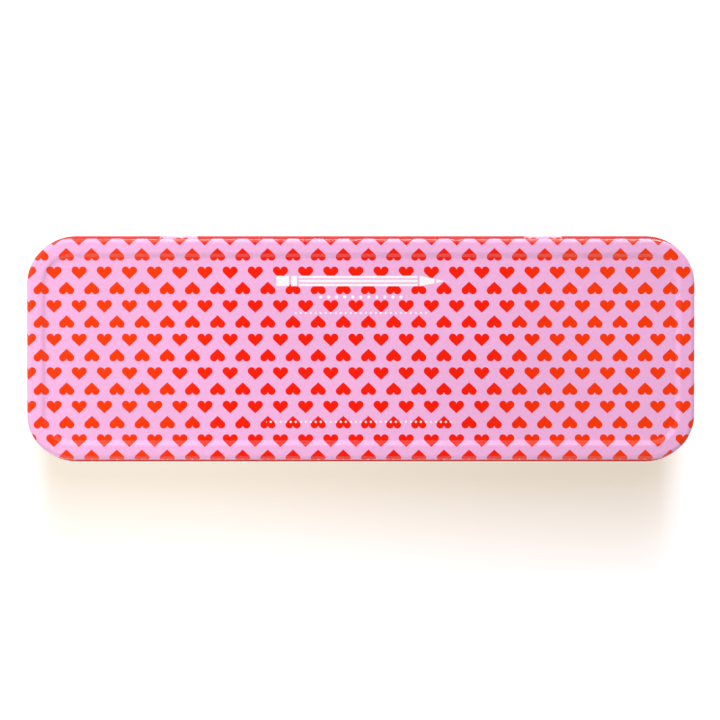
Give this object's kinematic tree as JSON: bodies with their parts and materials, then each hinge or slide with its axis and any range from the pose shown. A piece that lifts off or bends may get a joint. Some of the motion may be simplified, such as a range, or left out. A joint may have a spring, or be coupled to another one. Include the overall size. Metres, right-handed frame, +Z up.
{
  "type": "pencil case",
  "caption": "Long shallow hinged pencil tin with rounded corners, a slip-over lid and an all-over heart print.",
  "frame": {"origin": "centre of the underside, on the surface that the closed tin rests on", "axes": "+X along the tin's length, +Y from the front towards the hinged rear edge, +Z up"},
  "size_m": [0.2022, 0.0685, 0.02],
  "materials": {
    "printed_base": "glossy printed lacquer on tinplate, pink with red hearts",
    "printed_lid": "glossy printed lacquer on tinplate, red with a panel of pink hearts",
    "hinge_wire": "drawn steel wire"
  },
  "bodies": {
    "base": {"base_tray": "printed_base"},
    "lid": {"lid": "printed_lid", "hinge_wire_left": "hinge_wire", "hinge_wire_right": "hinge_wire"}
  },
  "joints": [
    {"name": "lid_hinge", "type": "hinge", "parent": "base", "child": "lid", "pos_m": [0, 0.03347, 0.013], "axis": [-1, 0, 0], "range_deg": [0, 140]}
  ]
}
